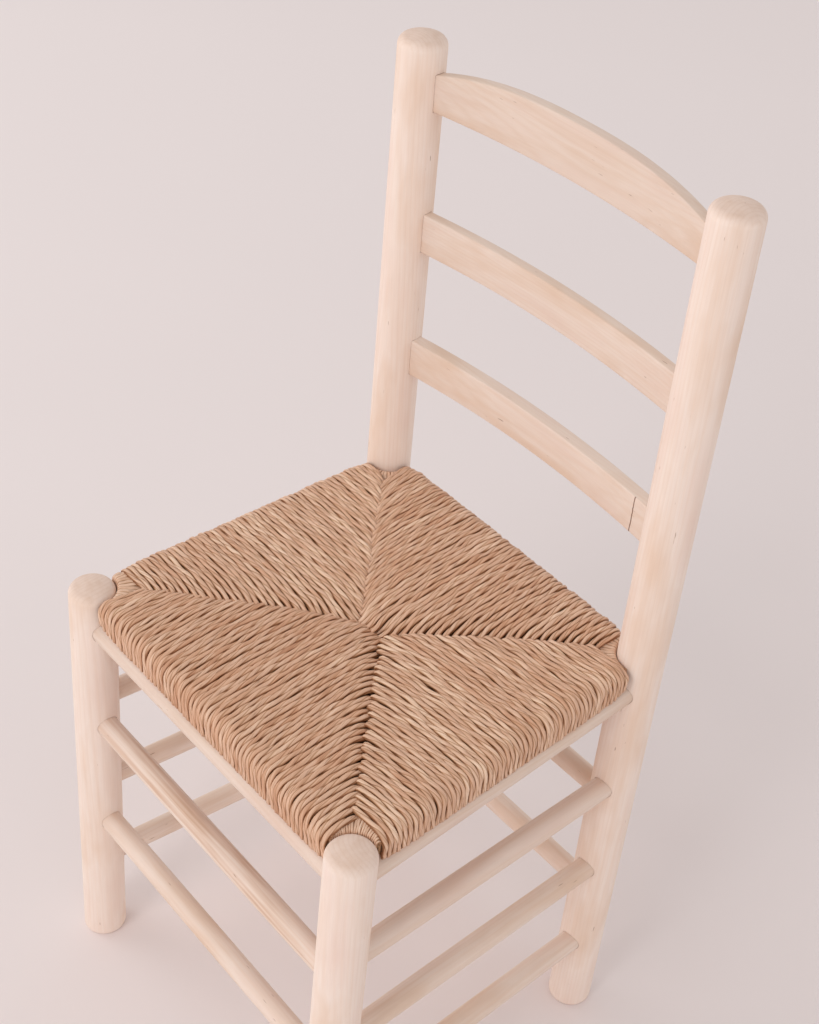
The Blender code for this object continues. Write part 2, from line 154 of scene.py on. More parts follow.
class Graph:
    """A short way to write the nodes of a material or of the world."""

    def __init__(self, owner):
        owner.use_nodes = True
        self.owner = owner
        self.tree = owner.node_tree

    def here(self):
        """A point's place in its own piece."""
        return self.node("TexCoord").outputs["Object"]

    def put(self, socket, value):
        if isinstance(value, bpy.types.NodeSocket):
            self.tree.links.new(value, socket)
        elif value is not None:
            socket.default_value = value

    def node(self, kind, settings=None, **inputs):
        node = self.tree.nodes.new("ShaderNode" + kind)
        for key, value in (settings or {}).items():
            setattr(node, key, value)
        for key, value in inputs.items():
            self.put(node.inputs[key.replace("_", " ")], value)
        return node

    def math(self, operation, a, b=None, c=None):
        node = self.node("Math", {"operation": operation})
        for socket, value in zip(node.inputs, (a, b, c)):
            self.put(socket, value)
        return node.outputs[0]

    def vector(self, operation, a, b=None, scale=None):
        node = self.node("VectorMath", {"operation": operation})
        self.put(node.inputs[0], a)
        if b is not None:
            self.put(node.inputs[1], b)
        if scale is not None:
            self.put(node.inputs["Scale"], scale)
        is_number = operation in ("LENGTH", "DOT_PRODUCT")
        return node.outputs["Value"] if is_number else node.outputs[0]

    def scaled(self, vector, scale):
        return self.node("Mapping", Vector=vector, Scale=scale).outputs[0]

    def noise(self, vector, scale=1.0, detail=2.0, roughness=0.5):
        node = self.node(
            "TexNoise", Vector=vector, Scale=scale, Detail=detail, Roughness=roughness
        )
        return node.outputs["Fac"]

    def ramp(self, factor, colours):
        node = self.node("ValToRGB", Fac=factor)
        elements = node.color_ramp.elements
        while len(elements) < len(colours):
            elements.new(1.0)
        for element, (place, colour) in zip(elements, colours):
            element.position = place
            element.color = colour
        return node.outputs["Color"]

    def mix(self, factor, a, b, blend="MIX"):
        node = self.node("Mix", {"data_type": "RGBA", "blend_type": blend})
        for index, value in ((0, factor), (6, a), (7, b)):
            self.put(node.inputs[index], value)
        return node.outputs[2]

    def span(self, value, source, target):
        """The value carried from one range to another, and held at its ends."""
        node = self.node("MapRange")
        for socket, number in zip(node.inputs, (value, *source, *target)):
            self.put(socket, number)
        return node.outputs[0]

    def tinted(self, base, red, green, blue):
        """The base colour multiplied by one number for each channel."""
        tint = self.node("CombineColor", Red=red, Green=green, Blue=blue)
        return self.mix(1.0, base, tint.outputs[0], "MULTIPLY")

    def bump(self, height, strength, distance):
        return self.node("Bump", Height=height, Strength=strength, Distance=distance).outputs[0]

    def surface(self, colour, roughness, normal=None, gloss=None):
        """The finished material, from its colour, roughness, relief and specular level."""
        shader = self.tree.nodes["Principled BSDF"]
        sockets = ("Base Color", "Roughness", "Normal", "Specular IOR Level")
        for key, value in zip(sockets, (colour, roughness, normal, gloss)):
            self.put(shader.inputs[key], value)
        return self.owner


def new_material(name):
    return Graph(bpy.data.materials.new(name))


WOOD_LIGHT = srgb(243, 225, 213)
WOOD_ROSE = srgb(238, 214, 201)
WOOD_TAN = srgb(231, 202, 180)
WOOD_BROWN = srgb(196, 148, 112)
WOOD_END = srgb(230, 205, 190)
WOOD_END_RING = srgb(215, 183, 161)


WOOD_FLECK = srgb(150, 104, 74)
WOOD_CRACK = srgb(112, 66, 46)
WOOD_GLOSS = 0.36
WOOD_ROUGHNESS = (0.52, 0.66)
WOOD_BUMP = (0.22, 0.00012)
WOOD_STOPS = [(0.28, WOOD_ROSE), (0.50, WOOD_LIGHT), (0.74, WOOD_TAN)]
# the growth rings: where their centre lies, how wide they are, how they run out along the grain
PITH_OFFSET = 0.038
RING_PITCH = 0.0034
RING_TAPER = (0.010, 0.024)
LATE_WOOD_POWER = 3.2
# features in a metre across and along the grain
BEND_SCALE = (9.0, 9.0, 2.2)
BEND_SIZE = 0.016
FIBRE_SCALE = (1250.0, 1250.0, 26.0)
STREAK_SCALE = (190.0, 190.0, 4.5)
CLOUD_SCALE = (26.0, 26.0, 7.0)
BLOTCH_SCALE = (130.0, 130.0, 130.0)
FLECK_SCALE = (520.0, 520.0, 62.0)
# where in its noise each mark fades in, and how much of it shows
STREAK_FADE, STREAK_SHARE = (0.45, 0.75), 0.30
BROWN_FADE = (0.50, 0.68)
PATCH_FADE, PATCH_SHARES = (0.36, 0.58), (0.15, 1.0)
FLECK_FADE, FLECK_SHARE = (0.775, 0.81), 0.65
BLOTCH_FADE, BLOTCH_SHARE = (0.4, 0.7), 0.5
FIBRE_SHADES = (0.965, 1.025)
END_RING_SHARE = 0.25
END_FADE, END_SHARE = (0.0095, 0.0025), 0.92
# the crack: half its width where it starts to fade and where it is gone, how far it wavers, and
# how deep into the slat from its front it shows
CRACK_WIDTHS, CRACK_SHARE = (0.00036, 0.00068), 0.92
CRACK_WAVER, CRACK_WAVES = 0.0012, 160.0
CRACK_DEPTHS = (0.0040, 0.0048)


def end_grain(g, base, late, place, height, end):
    """The base colour with end grain over a post's top, which is at the height end."""
    blotch = g.noise(g.scaled(place, BLOTCH_SCALE), detail=3.0)
    sawn = g.mix(g.math("MULTIPLY", late, END_RING_SHARE), WOOD_END, WOOD_END_RING)
    sawn = g.mix(g.span(blotch, BLOTCH_FADE, (0.0, BLOTCH_SHARE)), sawn, WOOD_END_RING)
    fade = (end - END_FADE[0], end - END_FADE[1])
    return g.mix(g.span(height, fade, (0.0, END_SHARE)), base, sawn)


def crack_line(g, base, start, height, crack):
    """The base colour with a thin dark line across the piece's front, at the height crack."""
    waver = g.math("MULTIPLY_ADD", g.noise(start, scale=CRACK_WAVES), CRACK_WAVER, height)
    away = g.math("ABSOLUTE", g.math("SUBTRACT", waver, crack + CRACK_WAVER / 2))
    line = g.span(away, CRACK_WIDTHS, (CRACK_SHARE, 0.0))
    front = g.span(g.node("SeparateXYZ", Vector=start).outputs["X"], CRACK_DEPTHS, (1.0, 0.0))
    return g.mix(g.math("MULTIPLY", line, front), base, WOOD_CRACK)


def wood(name, seed, tone, figure, streaks=0.0, end=None, crack=None):
    """Pale close-grained wood, its grain along the piece's own Z axis.

    tone darkens it, figure brings out its rings, and streaks browns it. end is the height of a
    post's sawn and rounded top, which shows darker end grain; crack is where, along the grain, a
    thin dark line runs across the piece's front.
    """
    g = new_material(name)
    r = np.random.default_rng(seed)
    start = g.here()
    shift = tuple(float(v) for v in r.uniform(-3, 3, 3))
    place = g.vector("ADD", start, shift)
    slow = g.scaled(place, BEND_SCALE)
    drift = g.node("TexNoise", Vector=slow, Scale=1.0, Detail=2.0).outputs["Color"]
    bend = g.vector("SCALE", g.vector("SUBTRACT", drift, (0.5, 0.5, 0.5)), scale=BEND_SIZE)
    bent = g.vector("ADD", start, bend)
    turn = float(r.uniform(0, 2 * math.pi))
    pith = (PITH_OFFSET * math.cos(turn), PITH_OFFSET * math.sin(turn), 0.0)
    from_pith = g.vector("LENGTH", g.scaled(g.vector("ADD", bent, pith), (1.0, 1.0, 0.0)))
    height = g.node("SeparateXYZ", Vector=start).outputs["Z"]
    radius = g.math("MULTIPLY_ADD", height, float(r.uniform(*RING_TAPER)), from_pith)
    rings = g.math("SINE", g.math("MULTIPLY", radius, 2 * math.pi / RING_PITCH))
    late = g.math("POWER", g.span(rings, (-1.0, 1.0), (0.0, 1.0)), LATE_WOOD_POWER)
    fibre = g.noise(g.scaled(bent, FIBRE_SCALE), detail=3.0, roughness=0.6)
    streak = g.noise(g.scaled(g.vector("ADD", bent, shift), STREAK_SCALE))
    cloud = g.noise(g.scaled(place, CLOUD_SCALE), detail=3.0, roughness=0.55)

    base = g.ramp(cloud, WOOD_STOPS)
    base = g.mix(g.math("MULTIPLY", late, figure), base, WOOD_TAN)
    base = g.mix(g.span(streak, STREAK_FADE, (0.0, STREAK_SHARE + tone)), base, WOOD_TAN)
    patch = g.span(cloud, PATCH_FADE, PATCH_SHARES)
    brown = g.math("MULTIPLY", g.span(streak, BROWN_FADE, (0.0, 1.0)), patch)
    base = g.mix(g.math("MULTIPLY", brown, streaks), base, WOOD_BROWN)
    if end is not None:
        base = end_grain(g, base, late, place, height, end)
    if crack is not None:
        base = crack_line(g, base, start, height, crack)
    fleck = g.noise(g.scaled(place, FLECK_SCALE), detail=1.0)
    base = g.mix(g.span(fleck, FLECK_FADE, (0.0, FLECK_SHARE)), base, WOOD_FLECK)
    shade = g.span(fibre, (0.25, 0.75), FIBRE_SHADES)
    base = g.tinted(base, shade, shade, shade)
    dark = 1.0 - tone
    tint = (dark, dark * (1 - 0.25 * tone), dark * (1 - 0.5 * tone), 1.0)
    base = g.mix(1.0, base, tint, "MULTIPLY")
    roughness = g.span(fibre, (0.2, 0.8), WOOD_ROUGHNESS)
    relief = g.math("MULTIPLY_ADD", late, 0.25, fibre)
    return g.surface(base, roughness, g.bump(relief, *WOOD_BUMP), WOOD_GLOSS)


STRAW_FLECK = srgb(128, 86, 58)
STRAW_GLOSS = 0.42
STRAW_BUMP = (0.35, 0.00025)
STRAW_BROAD_SCALE = (420.0, 420.0, 32.0)
STRAW_FLECK_SCALE = (900.0, 900.0, 75.0)
STRAW_FLECK_FADE, STRAW_FLECK_SHARE = (0.66, 0.74), 0.5
# how much the tone drifts within a leaf, and the shades of the fine fibres
LEAF_DRIFT = 0.55
LEAF_SHADES = (0.80, 1.13)
# where the painted shade in a gap between strands and in a crease between leaves starts and ends,
# and how dark the painted crease shade goes
GAP_RISES = (0.42, 0.80)
CREASE_DIPS, CREASE_SHADE = (0.55, 1.0), 0.58
# the fibres' shades and the painted shade deepen green and blue more than red, as light between the
# strands is warmed
SHADE_POWERS = (1.45, 2.00)


def straw(name, colours, painted_gap_shade, roughness, fibres):
    """Twisted leaf fibre: colour changes from leaf to leaf, and painted shade darkens it down in
    the gaps and creases.
    """
    g = new_material(name)

    def attribute(key, output="Fac"):
        return g.node("Attribute", {"attribute_name": key}).outputs[output]

    place = attribute("fibre", "Vector")
    fine = g.noise(g.scaled(place, fibres), detail=3.0, roughness=0.65)
    broad = g.noise(g.scaled(place, STRAW_BROAD_SCALE))
    leaf = g.math("MULTIPLY_ADD", g.math("SUBTRACT", broad, 0.5), LEAF_DRIFT, attribute("tone"))
    base = g.ramp(leaf, colours)
    fleck = g.noise(g.scaled(place, STRAW_FLECK_SCALE), detail=1.0)
    base = g.mix(g.span(fleck, STRAW_FLECK_FADE, (0.0, STRAW_FLECK_SHARE)), base, STRAW_FLECK)
    shade = g.span(fine, (0.25, 0.75), LEAF_SHADES)
    # painted shade: darker low on each strand's sides, in the gaps between strands
    hollow = g.span(attribute("rise"), GAP_RISES, (painted_gap_shade, 1.0))
    # painted shade: darker in the creases between leaves
    painted_crease_shade = g.span(attribute("crease"), CREASE_DIPS, (1.0, CREASE_SHADE))
    # the fibres' own shades times the painted gap and crease shade
    low = g.math("MULTIPLY", g.math("MULTIPLY", shade, hollow), painted_crease_shade)
    base = g.tinted(base, low, *(g.math("POWER", low, power) for power in SHADE_POWERS))
    rough = g.span(fine, (0.2, 0.8), (roughness - 0.07, roughness + 0.10))
    relief = g.math("MULTIPLY_ADD", broad, 0.5, fine)
    return g.surface(base, rough, g.bump(relief, *STRAW_BUMP), STRAW_GLOSS)


RUSH_STOPS = stops(
    (0.02, 193, 142, 110), (0.24, 214, 167, 136), (0.42, 224, 182, 153),
    (0.58, 219, 179, 152), (0.76, 234, 197, 170), (0.98, 243, 211, 185),
)
CORD_STOPS = stops((0.10, 208, 164, 134), (0.50, 229, 191, 164), (0.90, 243, 212, 188))


# ---------------------------------------------------------------- making meshes


def place_object(name, data, matrix):
    obj = bpy.data.objects.new(name, data)
    bpy.context.scene.collection.objects.link(obj)
    obj.matrix_world = matrix
    return obj


def add_object(name, mesh, material, matrix=Matrix.Identity(4)):
    mesh.materials.append(material)
    return place_object(name, mesh, matrix)


def mesh_from(name, points, faces, smooth=True):
    mesh = bpy.data.meshes.new(name)
    mesh.from_pydata([tuple(p) for p in points], [], [tuple(f) for f in faces])
    mesh.validate()
    if smooth:
        mesh.shade_smooth()
    return mesh


def turned(name, profile, segments):
    """A turned mesh from (radius, height) points, bottom to top; it starts and ends on its axis."""
    angles = np.linspace(0, 2 * math.pi, segments, endpoint=False)
    inner = profile[1:-1]
    points = [(0.0, 0.0, profile[0][1])]
    for radius, height in inner:
        points += [(radius * math.cos(a), radius * math.sin(a), height) for a in angles]
    points.append((0.0, 0.0, profile[-1][1]))
    faces = []
    for j in range(segments):
        k = (j + 1) % segments
        faces.append((0, 1 + k, 1 + j))
        for i in range(len(inner) - 1):
            low, high = 1 + i * segments, 1 + (i + 1) * segments
            faces.append((low + j, low + k, high + k, high + j))
        last = 1 + (len(inner) - 1) * segments
        faces.append((last + j, last + k, len(points) - 1))
    mesh = mesh_from(name, points, faces)
    mesh.set_sharp_from_angle(angle=SHARP_TURNED)
    return mesh


def arc(centre, radius, start, end, steps):
    angles = np.radians(np.linspace(start, end, steps + 1))
    return [(centre[0] + radius * math.cos(a), centre[1] + radius * math.sin(a)) for a in angles]


def post_profile(height):
    foot = arc((POST_RADIUS - POST_FOOT_ROUND, POST_FOOT_ROUND), POST_FOOT_ROUND, -90, 0, 6)
    shaft_heights = np.arange(POST_SHAFT_FROM, height - POST_SHAFT_END, POST_STEP)
    shaft = [(POST_RADIUS, h) for h in shaft_heights]
    flat = POST_RADIUS - POST_TOP_ROUND
    shoulder = (flat, height - POST_TOP_CROWN - POST_TOP_ROUND)
    top = arc(shoulder, POST_TOP_ROUND, 0, POST_TOP_ANGLE, 12)
    edge_radius, edge_height = top[-1]
    dome = []
    for share in DOME_SHARES:
        dome.append((edge_radius * share, height - (height - edge_height) * share**2))
    return [(0.0, 0.0)] + foot + shaft + top + dome + [(0.0, height)]


def rung_profile(length, radii, grow):
    """A rung's profile from tenon to tenon, or its mortises' when it grows by their gap."""
    end, middle = radii
    lower = [
        (0.0, TENON_END - grow),
        (TENON_RADIUS + grow, TENON_END - grow),
        (TENON_RADIUS + grow, SHOULDER - grow),
        (end + grow, SHOULDER - grow),
    ]
    upper = [(radius, length - height) for radius, height in reversed(lower)]
    shaft = []
    shaft_end = length - SHOULDER - RUNG_STEP / 2
    for height in np.arange(SHOULDER + RUNG_STEP, shaft_end, RUNG_STEP):
        share = 1 - abs(2 * height / length - 1) ** 2
        shaft.append((end + (middle - end) * share + grow, height))
    return lower + shaft + upper


# how close to its end or foot a packed vertex counts as on it
END_SLICE = 0.0002
LEVEL_SLICE = 0.0001


def axis_of(node):
    """The two ends of a turned part's axis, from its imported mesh."""
    co = np.array([v.co for v in NODES[node].data.vertices])
    centre = (co.max(0) + co.min(0)) / 2
    direction = np.linalg.svd(co - co.mean(0), full_matrices=False)[2][0]
    along = (co - centre) @ direction
    low = co[along < along.min() + END_SLICE].mean(0)
    high = co[along > along.max() - END_SLICE].mean(0)
    return Vector(low), Vector(high)


def between(start, end):
    direction = (end - start).normalized()
    return Matrix.Translation(start) @ direction.to_track_quat("Z", "Y").to_matrix().to_4x4()


def add_rung(node, radii, material):
    """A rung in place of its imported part; returns the cutter for its mortises."""
    low, high = axis_of(node)
    direction = (high - low).normalized()
    start, end = low - direction * TENON_END, high + direction * TENON_END
    length = (end - start).length
    matrix = between(start, end)
    mesh = turned(node, rung_profile(length, radii, 0.0), RUNG_SEGMENTS)
    obj = add_object("turned_" + node, mesh, material, matrix)
    finish_piece(obj, "bare_wood", node)
    hole = turned("hole", rung_profile(length, radii, MORTISE_GAP), RUNG_SEGMENTS)
    return add_object("hole_" + node, hole, material, matrix)


def finish_piece(obj, slot, *nodes):
    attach(obj, "root")
    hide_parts(*nodes)


def slat_outline(slat, grow):
    """Rings round a slat's cross-section, one at each step along it."""
    axis_y = BACK_POST_Y + BACK_POST_LEAN * (slat.bottom + slat.side / 2)
    half = BACK_POST_X - SLAT_END + grow
    edge = SLAT_EDGE
    rings = []
    for x in np.linspace(-half, half, SLAT_STEPS + 1):
        share = min(abs(x) / BACK_POST_X, 1.0)
        front = axis_y - slat.front + slat.bow * (1 - share**2) - grow
        back = front + slat.thick + 2 * grow
        low = slat.bottom - grow
        high = slat.bottom + slat.side + grow + slat.crest * (1 - share**CREST_POWER)
        ring = []
        for centre, start in (
            ((front + edge, low + edge), 180),
            ((back - edge, low + edge), 270),
            ((back - edge, high - edge), 0),
            ((front + edge, high - edge), 90),
        ):
            ring += arc(centre, edge, start, start + 90, SLAT_EDGE_STEPS)
        rings.append([(x, y, z) for y, z in ring])
    return np.array(rings)


def slat_mesh(name, slat, grow):
    rings = slat_outline(slat, grow)
    count, size = rings.shape[:2]
    points = rings.reshape(-1, 3)
    faces = [tuple(range(size))[::-1], tuple(range((count - 1) * size, count * size))]
    for i in range(count - 1):
        for j in range(size):
            k = (j + 1) % size
            low, high = i * size, (i + 1) * size
            faces.append((low + j, low + k, high + k, high + j))
    mesh = mesh_from(name, points, faces)
    mesh.set_sharp_from_angle(angle=SHARP_PLANED)
    return mesh


# a slat's own frame: Z along it, X to its back, Y up
SLAT_FRAME = Matrix(((0, 0, 1, 0), (1, 0, 0, BACK_POST_Y), (0, 1, 0, 0), (0, 0, 0, 1)))


def add_slat(level, material):
    node = f"back_slat_{level}"
    slat = SLATS[level]
    frame_here = Matrix.Translation((0, 0, slat.bottom)) @ SLAT_FRAME
    mesh = slat_mesh(node, slat, 0.0)
    mesh.transform(frame_here.inverted())
    obj = add_object("planed_" + node, mesh, material, frame_here)
    finish_piece(obj, "bare_wood", node)
    return add_object("hole_" + node, slat_mesh("hole", slat, MORTISE_GAP), material)


def add_post(node, material, cutters):
    """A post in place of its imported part, leaning as it does, with a mortise for each cutter."""
    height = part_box(node)[1].z
    co = np.array([v.co for v in NODES[node].data.vertices])
    foot = co[co[:, 2] < LEVEL_SLICE].mean(0)
    top = co[co[:, 2] > height - LEVEL_SLICE].mean(0)
    mesh = turned(node, post_profile(height), POST_SEGMENTS)
    lean = Matrix.Identity(4)
    lean[1][2] = (top[1] - foot[1]) / height
    lean[0][2] = (top[0] - foot[0]) / height
    mesh.transform(lean)
    place = Matrix.Translation((foot[0], foot[1], 0.0))
    obj = add_object("turned_" + node, mesh, material, place)
    for cutter in cutters:
        modifier = obj.modifiers.new(cutter.name, "BOOLEAN")
        modifier.operation = "DIFFERENCE"
        modifier.solver = "EXACT"
        modifier.object = cutter
    bpy.context.view_layer.update()
    evaluated = obj.evaluated_get(bpy.context.evaluated_depsgraph_get())
    cut = bpy.data.meshes.new_from_object(evaluated)
    obj.modifiers.clear()
    obj.data = cut
    cut.shade_smooth()
    cut.set_sharp_from_angle(angle=SHARP_TURNED)
    finish_piece(obj, "bare_wood", node)


# the look of each kind of piece, and the crack in the lower slat, along X from its middle
RAIL_TONE, RUNG_TONE, ROUND_FIGURE = 0.11, 0.06, 0.26
RUNG_STREAKS, STREAKED_RUNG, STREAKED = 0.06, "front_rung_upper", 0.55
SLAT_TONES, SLAT_FIGURE = {"lower": 0.08, "middle": 0.10, "top": 0.13}, 0.20
CRACKED_SLAT, CRACK_PLACE = "lower", 0.1275
POST_TONE, POST_FIGURE = -0.02, 0.18
ROUND_SEED, SLAT_SEED, POST_SEED, FRAME_SEED = 20, 50, 60, 80


def add_rungs(holes):
    rungs = [f"{row}_rung_{level}" for row in ("front", "back") for level in ("upper", "lower")]
    for side in ("left", "right"):
        rungs += [f"{side}_rung_{level}" for level in ("upper", "middle", "lower")]
    rails = [f"seat_rail_{edge}" for edge in ("front", "back", "left", "right")]
    for i, node in enumerate(rungs + rails):
        tone, radii = (RAIL_TONE, RAIL_RADII) if node in rails else (RUNG_TONE, RUNG_RADII)
        streaks = STREAKED if node == STREAKED_RUNG else RUNG_STREAKS
        material = wood("wood_" + node, ROUND_SEED + i, tone, ROUND_FIGURE, streaks)
        holes[node] = add_rung(node, radii, material)


def add_slats(holes):
    for i, level in enumerate(SLATS):
        crack = CRACK_PLACE if level == CRACKED_SLAT else None
        name = f"wood_slat_{level}"
        material = wood(name, SLAT_SEED + i, SLAT_TONES[level], SLAT_FIGURE, crack=crack)
        holes[f"back_slat_{level}"] = add_slat(level, material)


def add_wood():
    """Posts, rungs, rails and slats, each with its own piece of grain."""
    holes = {}
    add_rungs(holes)
    add_slats(holes)
    for i, row in enumerate(("front", "back")):
        for j, side in enumerate(("left", "right")):
            post, name = f"{row}_post_{side}", f"wood_post_{row}_{side}"
            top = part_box(post)[1].z
            material = wood(name, POST_SEED + 2 * i + j, POST_TONE, POST_FIGURE, end=top)
            joins = (row, side, f"seat_rail_{row}", f"seat_rail_{side}")
            add_post(post, material, [h for node, h in holes.items() if node.startswith(joins)])
    for hole in holes.values():
        bpy.data.objects.remove(hole, do_unlink=True)


# ---------------------------------------------------------------- rush strands


def seat_point(plan, height):
    """Points from (x, y) rows and heights above the plane through the side rails."""
    return np.column_stack([plan, height + SEAT_LEVEL + SEAT_SLOPE * plan[:, 1]])


def top_height(depth):
    """The seat's upper surface at a depth inwards from its outer wall."""
    return np.interp(depth, TOP_DEPTHS, TOP_HEIGHTS)


def smooth_steps(values, width):
    """Values smoothed along their first axis over a number of steps."""
    kernel = np.hanning(width + 2)[1:-1]
    kernel /= kernel.sum()
    padded = np.pad(values, ((width, width),) + ((0, 0),) * (values.ndim - 1), mode="edge")
    out = np.apply_along_axis(lambda v: np.convolve(v, kernel, "same"), 0, padded)
    return out[width:-width]


# half a strand's thickness on top and below, and its leaves
HALF_THICK = 0.00215
UNDER_THICK = 0.0017
LEAVES = 3
LEAF_POINTS = 6
AROUND = LEAVES * LEAF_POINTS
# steps of its course on top, down the wall and below
TOP_STEP = 0.0012
WALL_STEP = 0.0015
UNDER_STEP = 0.0040
# its inner end: how far a pointed one runs on and dips, how a blunt one turns and drops
POINT_RUN, POINT_DIP = 0.0040, 0.0022
BLUNT_TURN, BLUNT_DROP = 0.0026, 0.0062
# its wall: how far it hangs in, where it ends, and the lip below it as (depth past half a strand,
# height), from which it runs round the rail
WALL_IN = 0.0001
WALL_FOOT = 0.0125
LIP = ((-0.0002, 0.0110), (0.0, 0.0099), (0.0008, 0.0093), (0.0018, 0.0102))
RAIL_GAP = 0.0003
UNDER_REACH = 0.0260


def strand_line(end_depth, dive, dive_length, blunt):
    """The (depth, height) line of a strand's middle, from its inner end over the edge and below.

    dive is how far it sinks on its way to the inner end, and a blunt end turns straight down.
    """
    h = HALF_THICK
    depths = np.arange(end_depth, EDGE_ROUND, -TOP_STEP)
    sink = dive * np.clip(1 - (end_depth - depths) / dive_length, 0, 1) ** 2
    line = list(zip(depths, top_height(depths) - h - sink))
    first_depth, first_height = line[0]
    if blunt:
        turn = arc((first_depth, first_height - BLUNT_TURN), BLUNT_TURN, 0, 80, 5)
        line = [(first_depth + BLUNT_TURN, first_height - BLUNT_DROP)] + turn + line[1:]
    else:
        line = [(first_depth + POINT_RUN, first_height - POINT_DIP)] + line
    wall_top = SEAT_TOP - EDGE_ROUND
    line += arc((EDGE_ROUND, wall_top), EDGE_ROUND - h, 93, 180, 12)
    wall_heights = np.arange(wall_top - WALL_STEP, WALL_FOOT, -WALL_STEP)
    line += [(h - WALL_IN, height) for height in wall_heights]
    line += [(h + out, height) for out, height in LIP]
    line += arc((EDGE_OUT, 0.0), RAIL_RADIUS + UNDER_THICK + RAIL_GAP, 122, 90, 5)[1:]
    under_depths = np.arange(2 * EDGE_OUT, max(end_depth, UNDER_REACH), UNDER_STEP)
    line += [(depth, SEAT_BOTTOM + UNDER_THICK) for depth in under_depths]
    return np.array(line)


# a strand's rings: close together down to a little past the lip, and further apart below
RING_STEP = 0.0024
UNDER_RING_STEP = 0.0052
PAST_LIP = 0.0040
LIP_DEPTH = 0.0100
# how long a leaf keeps one width or tone
LEAF_RUNS = (0.014, 0.045)


def lengths_along(line):
    return np.r_[0.0, np.cumsum(np.linalg.norm(np.diff(line, axis=0), axis=1))]


def at_places(line, places):
    lengths = lengths_along(line)
    return np.column_stack([np.interp(places, lengths, line[:, k]) for k in (0, 1)])


def resampled(line):
    """The same line with its points where the rings go, and their places along it."""
    lengths = lengths_along(line)
    lowest = int(np.argmin(line[:, 1] + (line[:, 0] > LIP_DEPTH)))
    turn = lengths[lowest] + PAST_LIP
    fine = np.arange(0.0, turn, RING_STEP)
    coarse = np.arange(turn, lengths[-1], UNDER_RING_STEP)
    places = np.r_[fine, coarse]
    return at_places(line, places), places


def normals_of(line):
    """Unit directions square to a (depth, height) line, on its outer side, step by step."""
    tangent = np.gradient(line, axis=0)
    tangent /= np.linalg.norm(tangent, axis=1)[:, None]
    return np.column_stack([tangent[:, 1], -tangent[:, 0]])


def wandering(count, low, high, smooth):
    """A random run that holds a value for a while and then changes."""
    out = np.zeros(count)
    i = 0
    while i < count:
        length = int(rng.uniform(*LEAF_RUNS) / RING_STEP) + 1
        out[i : i + length] = rng.uniform(low, high)
        i += length
    return smooth_steps(out, smooth)


# how the strands meet a diagonal: how far they sink on the way there and over what length, whether
# they turn straight down, how far they reach past it, and how far their tips lean along the edge
# and over what length
Tips = namedtuple("Tips", "dive dive_length blunt overrun lean lean_length")
# a quadrant runs from one corner to the next; drift carries its strands along as they go down the
# wall, and tone shifts their colour: this is painted light, lighter on the side quadrants, whose
# strands lie along the light, and darker on the front, whose strands lie across it
Quadrant = namedtuple("Quadrant", "start end crosswise ridge count drift tone tips")
BOTH_ENDS = (RIDGE_LEFT, RIDGE_RIGHT)
QUADRANTS = {
    "front": Quadrant("front_left", "front_right", True, BOTH_ENDS, 60, 0.0034, -0.04, (
        Tips(0.0048, 0.013, False, 0.0008, 0.0020, 0.014),
        Tips(0.0056, 0.020, False, 0.0006, 0.0040, 0.013),
    )),
    "right": Quadrant("front_right", "back_right", False, (RIDGE_RIGHT,), 55, -0.0030, 0.12, (
        Tips(-0.0004, 0.012, True, 0.0022, -0.0035, 0.016),
        Tips(0.0008, 0.008, True, -0.0002, 0.0006, 0.015),
    )),
    "back": Quadrant("back_right", "back_left", True, BOTH_ENDS, 57, 0.0030, 0.0, (
        Tips(0.0034, 0.014, False, 0.0008, -0.0050, 0.020),
        Tips(0.0006, 0.008, True, 0.0016, -0.0040, 0.016),
    )),
    "left": Quadrant("back_left", "front_left", False, (RIDGE_LEFT,), 55, -0.0030, 0.08, (
        Tips(0.0042, 0.012, False, 0.0010, 0.0040, 0.018),
        Tips(0.0004, 0.008, True, 0.0012, 0.0045, 0.020),
    )),
}


# size, waves across the strands and waves along them
WAVES = ((1.0, 34, 95), (0.7, 75, 160), (0.5, 130, 240))


def waves(phase, rows, along):
    """Slow waviness shared by neighbouring strands: rows is a strand's place, along its length."""
    total = np.zeros(np.broadcast(rows, along).shape)
    for k, (size, row_scale, length_scale) in enumerate(WAVES):
        a, b = phase[2 * k], phase[2 * k + 1]
        across = np.sin(row_scale * rows + a)
        total += size * across * np.sin(length_scale * along + b + 3 * row_scale * rows)
    return total


def free_ends(quadrant):
    """For each end of an edge: where its first strand starts at the wall, and where it ends."""
    corners = (FREE_CORNERS[quadrant.start], FREE_CORNERS[quadrant.end])
    if quadrant.crosswise:
        return [(corner.across, corner.apex_across) for corner in corners]
    return [(corner.side, corner.apex_side) for corner in corners]


def apex_depths(quadrant):
    """How deep inside its edge each free corner's apex lies."""
    corners = (FREE_CORNERS[quadrant.start], FREE_CORNERS[quadrant.end])
    return [corner.apex_side if quadrant.crosswise else corner.apex_across for corner in corners]


# at the corners, strands are drawn towards the middle of the edge, less and less over this length
DRAW_LENGTH = 0.030
LEAN_BLEND = 0.016
END_NOISE = 0.0010
DIVE_SPREAD = (0.6, 1.3)
FAN_DEPTH = 0.040
# sideways wobble and lift: a shared part, a part of each strand's own, and its smoothing in steps
WOBBLE, OWN_WOBBLE, WOBBLE_STEPS = 0.00042, 0.0006, 9
LIFT, OWN_LIFT, LIFT_STEPS = 0.00028, 0.0007, 7
END_WOBBLE, END_WOBBLE_LENGTH = 0.35, 0.020
PRESS = 0.0002
# next to a post the strands sink on top and rise below
CORNER_LENGTH = 0.009
CORNER_SINK = 0.0036
CORNER_RISE = 0.0055
# heights over which the top, the wall's foot and the wall's drift fade in
ON_TOP = (0.026, 0.006)
ABOVE_FOOT = (0.014, 0.018)
DRIFT_DEPTH, DRIFT_HEIGHT = 0.008, 0.024

